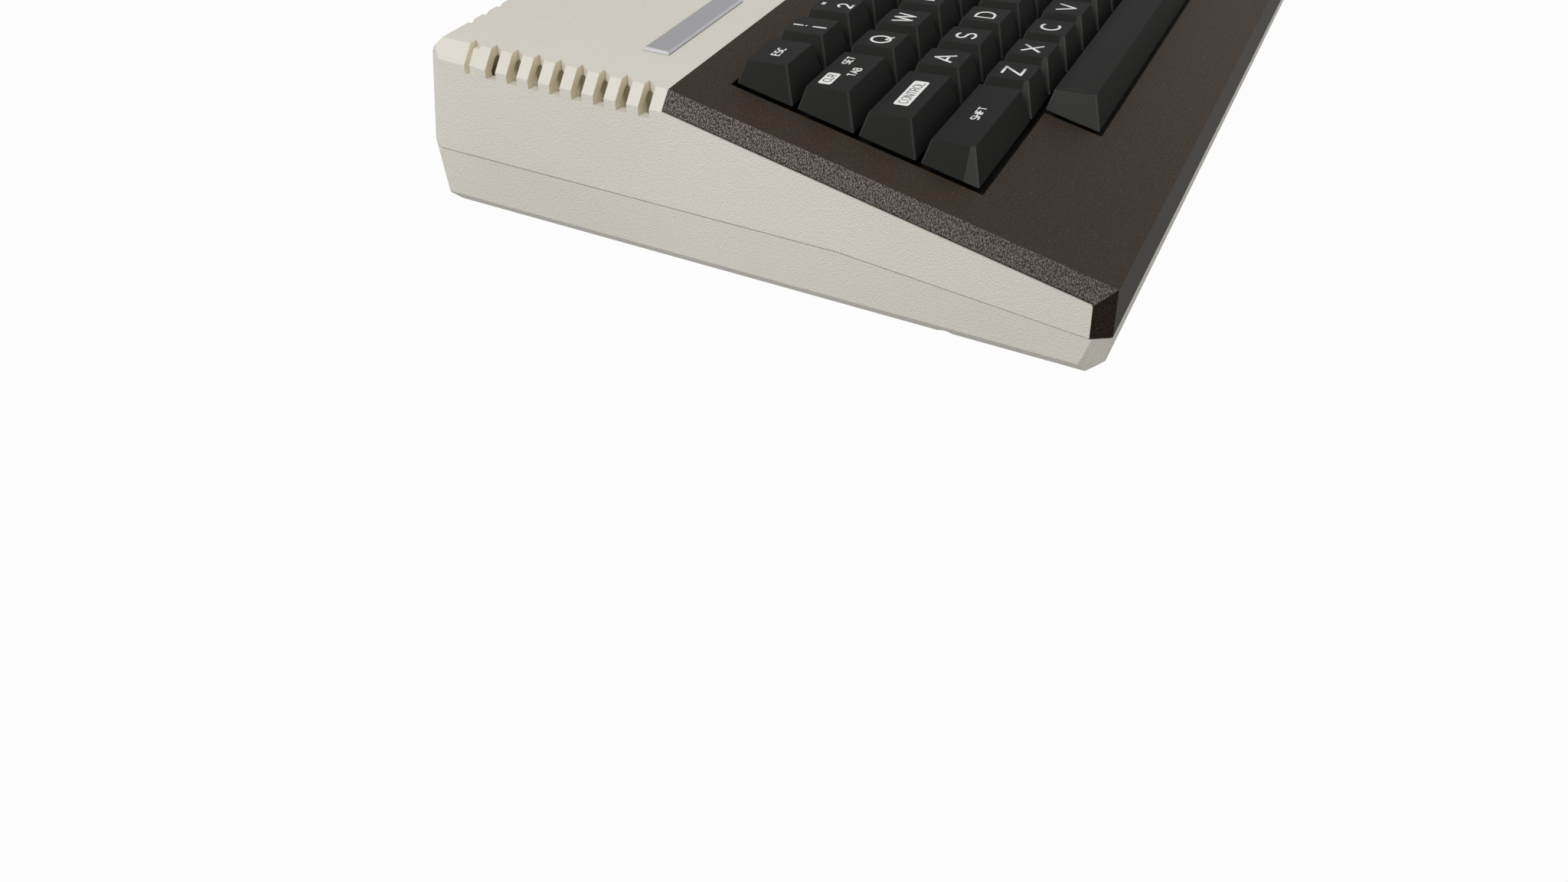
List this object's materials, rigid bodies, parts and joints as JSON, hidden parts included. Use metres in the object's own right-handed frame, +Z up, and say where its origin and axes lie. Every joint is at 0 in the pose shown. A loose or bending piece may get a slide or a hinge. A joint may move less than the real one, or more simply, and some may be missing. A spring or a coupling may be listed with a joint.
{
  "type": "home computer",
  "caption": "Low wedge-shaped home computer with a raked built-in keyboard, console keys, a cartridge slot with sprung doors, cooling slots and side and rear connectors.",
  "frame": {"origin": "bottom centre of the overall bounding box, on the desk under the feet", "axes": "+X to the user's right along the rows of keys, +Y from the space bar to the rear connectors, +Z up"},
  "size_m": [0.376, 0.2134, 0.059],
  "materials": {
    "beige_plastic": "fine leather texture, slightly yellowed",
    "brown_plastic": "dark brown, fine speckled texture",
    "key_plastic": "satin near-black with off-white legends",
    "black_plastic": "plain black moulding",
    "rocker_plastic": "glossy black",
    "bright_metal": "fine brushed silver finish",
    "sheet_steel": "plain zinc-plated sheet",
    "board_laminate": "green solder-masked laminate",
    "red_lens": "translucent red",
    "foot_rubber": "matte black"
  },
  "bodies": {
    "case": {"lower_case": "beige_plastic", "upper_case": "beige_plastic", "keyboard_bezel": "brown_plastic", "badge_plate": "bright_metal", "main_board": "board_laminate", "board_chips": "black_plastic", "rf_shield": "sheet_steel", "rf_modulator": "sheet_steel", "keyboard_frame": "black_plastic", "keyboard_backplate": "sheet_steel", "keyboard_membrane": "board_laminate", "cartridge_socket": "black_plastic", "cartridge_guide": "black_plastic", "controller_ports": "black_plastic", "peripheral_port": "black_plastic", "connector_pins": "sheet_steel", "din_sockets": "black_plastic", "tv_jack": "sheet_steel", "bus_cover": "black_plastic", "power_switch_housing": "black_plastic", "channel_switch_housing": "black_plastic", "power_lamp": "red_lens", "rubber_feet": "foot_rubber", "case_screws": "sheet_steel"},
    "power_rocker": {"power_rocker": "rocker_plastic"},
    "channel_slider": {"channel_slider": "black_plastic"},
    "front_slot_door": {"front_slot_door": "black_plastic"},
    "rear_slot_door": {"rear_slot_door": "black_plastic"},
    "key_esc": {"key_esc": "key_plastic"},
    "key_1": {"key_1": "key_plastic"},
    "key_2": {"key_2": "key_plastic"},
    "number_row_keys": {"number_row_keys": "key_plastic"},
    "key_backspace": {"key_backspace": "key_plastic"},
    "key_break": {"key_break": "key_plastic"},
    "key_tab": {"key_tab": "key_plastic"},
    "key_q": {"key_q": "key_plastic"},
    "key_w": {"key_w": "key_plastic"},
    "key_e": {"key_e": "key_plastic"},
    "upper_row_keys": {"upper_row_keys": "key_plastic"},
    "key_return": {"key_return": "key_plastic"},
    "key_control": {"key_control": "key_plastic"},
    "key_a": {"key_a": "key_plastic"},
    "key_s": {"key_s": "key_plastic"},
    "key_d": {"key_d": "key_plastic"},
    "key_f": {"key_f": "key_plastic"},
    "home_row_keys": {"home_row_keys": "key_plastic"},
    "key_caps": {"key_caps": "key_plastic"},
    "key_left_shift": {"key_left_shift": "key_plastic"},
    "key_z": {"key_z": "key_plastic"},
    "key_x": {"key_x": "key_plastic"},
    "key_c": {"key_c": "key_plastic"},
    "key_v": {"key_v": "key_plastic"},
    "lower_row_keys": {"lower_row_keys": "key_plastic"},
    "key_right_shift": {"key_right_shift": "key_plastic"},
    "key_space": {"key_space": "key_plastic"},
    "help_key": {"help_key": "bright_metal"},
    "start_key": {"start_key": "bright_metal"},
    "select_key": {"select_key": "bright_metal"},
    "option_key": {"option_key": "bright_metal"},
    "reset_key": {"reset_key": "bright_metal"}
  },
  "joints": [
    {"name": "help_key_press", "type": "slide", "parent": "case", "child": "help_key", "axis": [0, 0.1959, -0.9806], "range_m": [0, 0.0025], "stiffness_N_per_m": 200, "springref_m": -0.002},
    {"name": "start_key_press", "type": "slide", "parent": "case", "child": "start_key", "axis": [0, 0.1959, -0.9806], "range_m": [0, 0.0025], "stiffness_N_per_m": 200, "springref_m": -0.002},
    {"name": "select_key_press", "type": "slide", "parent": "case", "child": "select_key", "axis": [0, 0.1959, -0.9806], "range_m": [0, 0.0025], "stiffness_N_per_m": 200, "springref_m": -0.002},
    {"name": "option_key_press", "type": "slide", "parent": "case", "child": "option_key", "axis": [0, 0.1959, -0.9806], "range_m": [0, 0.0025], "stiffness_N_per_m": 200, "springref_m": -0.002},
    {"name": "reset_key_press", "type": "slide", "parent": "case", "child": "reset_key", "axis": [0, 0.1959, -0.9806], "range_m": [0, 0.0025], "stiffness_N_per_m": 200, "springref_m": -0.002},
    {"name": "front_slot_door_swing", "type": "hinge", "parent": "case", "child": "front_slot_door", "pos_m": [0, 0.05135, 0.053], "axis": [-1, 0, 0], "range_deg": [0, 85], "stiffness_Nm_per_rad": 0.0008, "springref_deg": -34.38},
    {"name": "rear_slot_door_swing", "type": "hinge", "parent": "case", "child": "rear_slot_door", "pos_m": [0, 0.07055, 0.053], "axis": [1, 0, 0], "range_deg": [0, 85], "stiffness_Nm_per_rad": 0.0008, "springref_deg": -34.38},
    {"name": "power_rocker_tilt", "type": "hinge", "parent": "case", "child": "power_rocker", "pos_m": [-0.098, 0.09795, 0.021], "axis": [0, 0, -1], "range_deg": [0, 14]},
    {"name": "channel_slider_slide", "type": "slide", "parent": "case", "child": "channel_slider", "axis": [1, 0, 0], "range_m": [0, 0.004]},
    {"name": "key_esc_press", "type": "slide", "parent": "case", "child": "key_esc", "axis": [0, 0.1959, -0.9806], "range_m": [0, 0.0038], "stiffness_N_per_m": 120, "springref_m": -0.003},
    {"name": "key_1_press", "type": "slide", "parent": "case", "child": "key_1", "axis": [0, 0.1959, -0.9806], "range_m": [0, 0.0038], "stiffness_N_per_m": 120, "springref_m": -0.003},
    {"name": "key_2_press", "type": "slide", "parent": "case", "child": "key_2", "axis": [0, 0.1959, -0.9806], "range_m": [0, 0.0038], "stiffness_N_per_m": 120, "springref_m": -0.003},
    {"name": "number_row_keys_press", "type": "slide", "parent": "case", "child": "number_row_keys", "axis": [0, 0.1959, -0.9806], "range_m": [0, 0.0038], "stiffness_N_per_m": 1200, "springref_m": -0.003},
    {"name": "key_backspace_press", "type": "slide", "parent": "case", "child": "key_backspace", "axis": [0, 0.1959, -0.9806], "range_m": [0, 0.0038], "stiffness_N_per_m": 120, "springref_m": -0.003},
    {"name": "key_break_press", "type": "slide", "parent": "case", "child": "key_break", "axis": [0, 0.1959, -0.9806], "range_m": [0, 0.0038], "stiffness_N_per_m": 120, "springref_m": -0.003},
    {"name": "key_tab_press", "type": "slide", "parent": "case", "child": "key_tab", "axis": [0, 0.1959, -0.9806], "range_m": [0, 0.0038], "stiffness_N_per_m": 120, "springref_m": -0.003},
    {"name": "key_q_press", "type": "slide", "parent": "case", "child": "key_q", "axis": [0, 0.1959, -0.9806], "range_m": [0, 0.0038], "stiffness_N_per_m": 120, "springref_m": -0.003},
    {"name": "key_w_press", "type": "slide", "parent": "case", "child": "key_w", "axis": [0, 0.1959, -0.9806], "range_m": [0, 0.0038], "stiffness_N_per_m": 120, "springref_m": -0.003},
    {"name": "key_e_press", "type": "slide", "parent": "case", "child": "key_e", "axis": [0, 0.1959, -0.9806], "range_m": [0, 0.0038], "stiffness_N_per_m": 120, "springref_m": -0.003},
    {"name": "upper_row_keys_press", "type": "slide", "parent": "case", "child": "upper_row_keys", "axis": [0, 0.1959, -0.9806], "range_m": [0, 0.0038], "stiffness_N_per_m": 1080, "springref_m": -0.003},
    {"name": "key_return_press", "type": "slide", "parent": "case", "child": "key_return", "axis": [0, 0.1959, -0.9806], "range_m": [0, 0.0038], "stiffness_N_per_m": 120, "springref_m": -0.003},
    {"name": "key_control_press", "type": "slide", "parent": "case", "child": "key_control", "axis": [0, 0.1959, -0.9806], "range_m": [0, 0.0038], "stiffness_N_per_m": 120, "springref_m": -0.003},
    {"name": "key_a_press", "type": "slide", "parent": "case", "child": "key_a", "axis": [0, 0.1959, -0.9806], "range_m": [0, 0.0038], "stiffness_N_per_m": 120, "springref_m": -0.003},
    {"name": "key_s_press", "type": "slide", "parent": "case", "child": "key_s", "axis": [0, 0.1959, -0.9806], "range_m": [0, 0.0038], "stiffness_N_per_m": 120, "springref_m": -0.003},
    {"name": "key_d_press", "type": "slide", "parent": "case", "child": "key_d", "axis": [0, 0.1959, -0.9806], "range_m": [0, 0.0038], "stiffness_N_per_m": 120, "springref_m": -0.003},
    {"name": "key_f_press", "type": "slide", "parent": "case", "child": "key_f", "axis": [0, 0.1959, -0.9806], "range_m": [0, 0.0038], "stiffness_N_per_m": 120, "springref_m": -0.003},
    {"name": "home_row_keys_press", "type": "slide", "parent": "case", "child": "home_row_keys", "axis": [0, 0.1959, -0.9806], "range_m": [0, 0.0038], "stiffness_N_per_m": 960, "springref_m": -0.003},
    {"name": "key_caps_press", "type": "slide", "parent": "case", "child": "key_caps", "axis": [0, 0.1959, -0.9806], "range_m": [0, 0.0038], "stiffness_N_per_m": 120, "springref_m": -0.003},
    {"name": "key_left_shift_press", "type": "slide", "parent": "case", "child": "key_left_shift", "axis": [0, 0.1959, -0.9806], "range_m": [0, 0.0038], "stiffness_N_per_m": 120, "springref_m": -0.003},
    {"name": "key_z_press", "type": "slide", "parent": "case", "child": "key_z", "axis": [0, 0.1959, -0.9806], "range_m": [0, 0.0038], "stiffness_N_per_m": 120, "springref_m": -0.003},
    {"name": "key_x_press", "type": "slide", "parent": "case", "child": "key_x", "axis": [0, 0.1959, -0.9806], "range_m": [0, 0.0038], "stiffness_N_per_m": 120, "springref_m": -0.003},
    {"name": "key_c_press", "type": "slide", "parent": "case", "child": "key_c", "axis": [0, 0.1959, -0.9806], "range_m": [0, 0.0038], "stiffness_N_per_m": 120, "springref_m": -0.003},
    {"name": "key_v_press", "type": "slide", "parent": "case", "child": "key_v", "axis": [0, 0.1959, -0.9806], "range_m": [0, 0.0038], "stiffness_N_per_m": 120, "springref_m": -0.003},
    {"name": "lower_row_keys_press", "type": "slide", "parent": "case", "child": "lower_row_keys", "axis": [0, 0.1959, -0.9806], "range_m": [0, 0.0038], "stiffness_N_per_m": 840, "springref_m": -0.003},
    {"name": "key_right_shift_press", "type": "slide", "parent": "case", "child": "key_right_shift", "axis": [0, 0.1959, -0.9806], "range_m": [0, 0.0038], "stiffness_N_per_m": 120, "springref_m": -0.003},
    {"name": "key_space_press", "type": "slide", "parent": "case", "child": "key_space", "axis": [0, 0.1959, -0.9806], "range_m": [0, 0.0038], "stiffness_N_per_m": 120, "springref_m": -0.003}
  ]
}
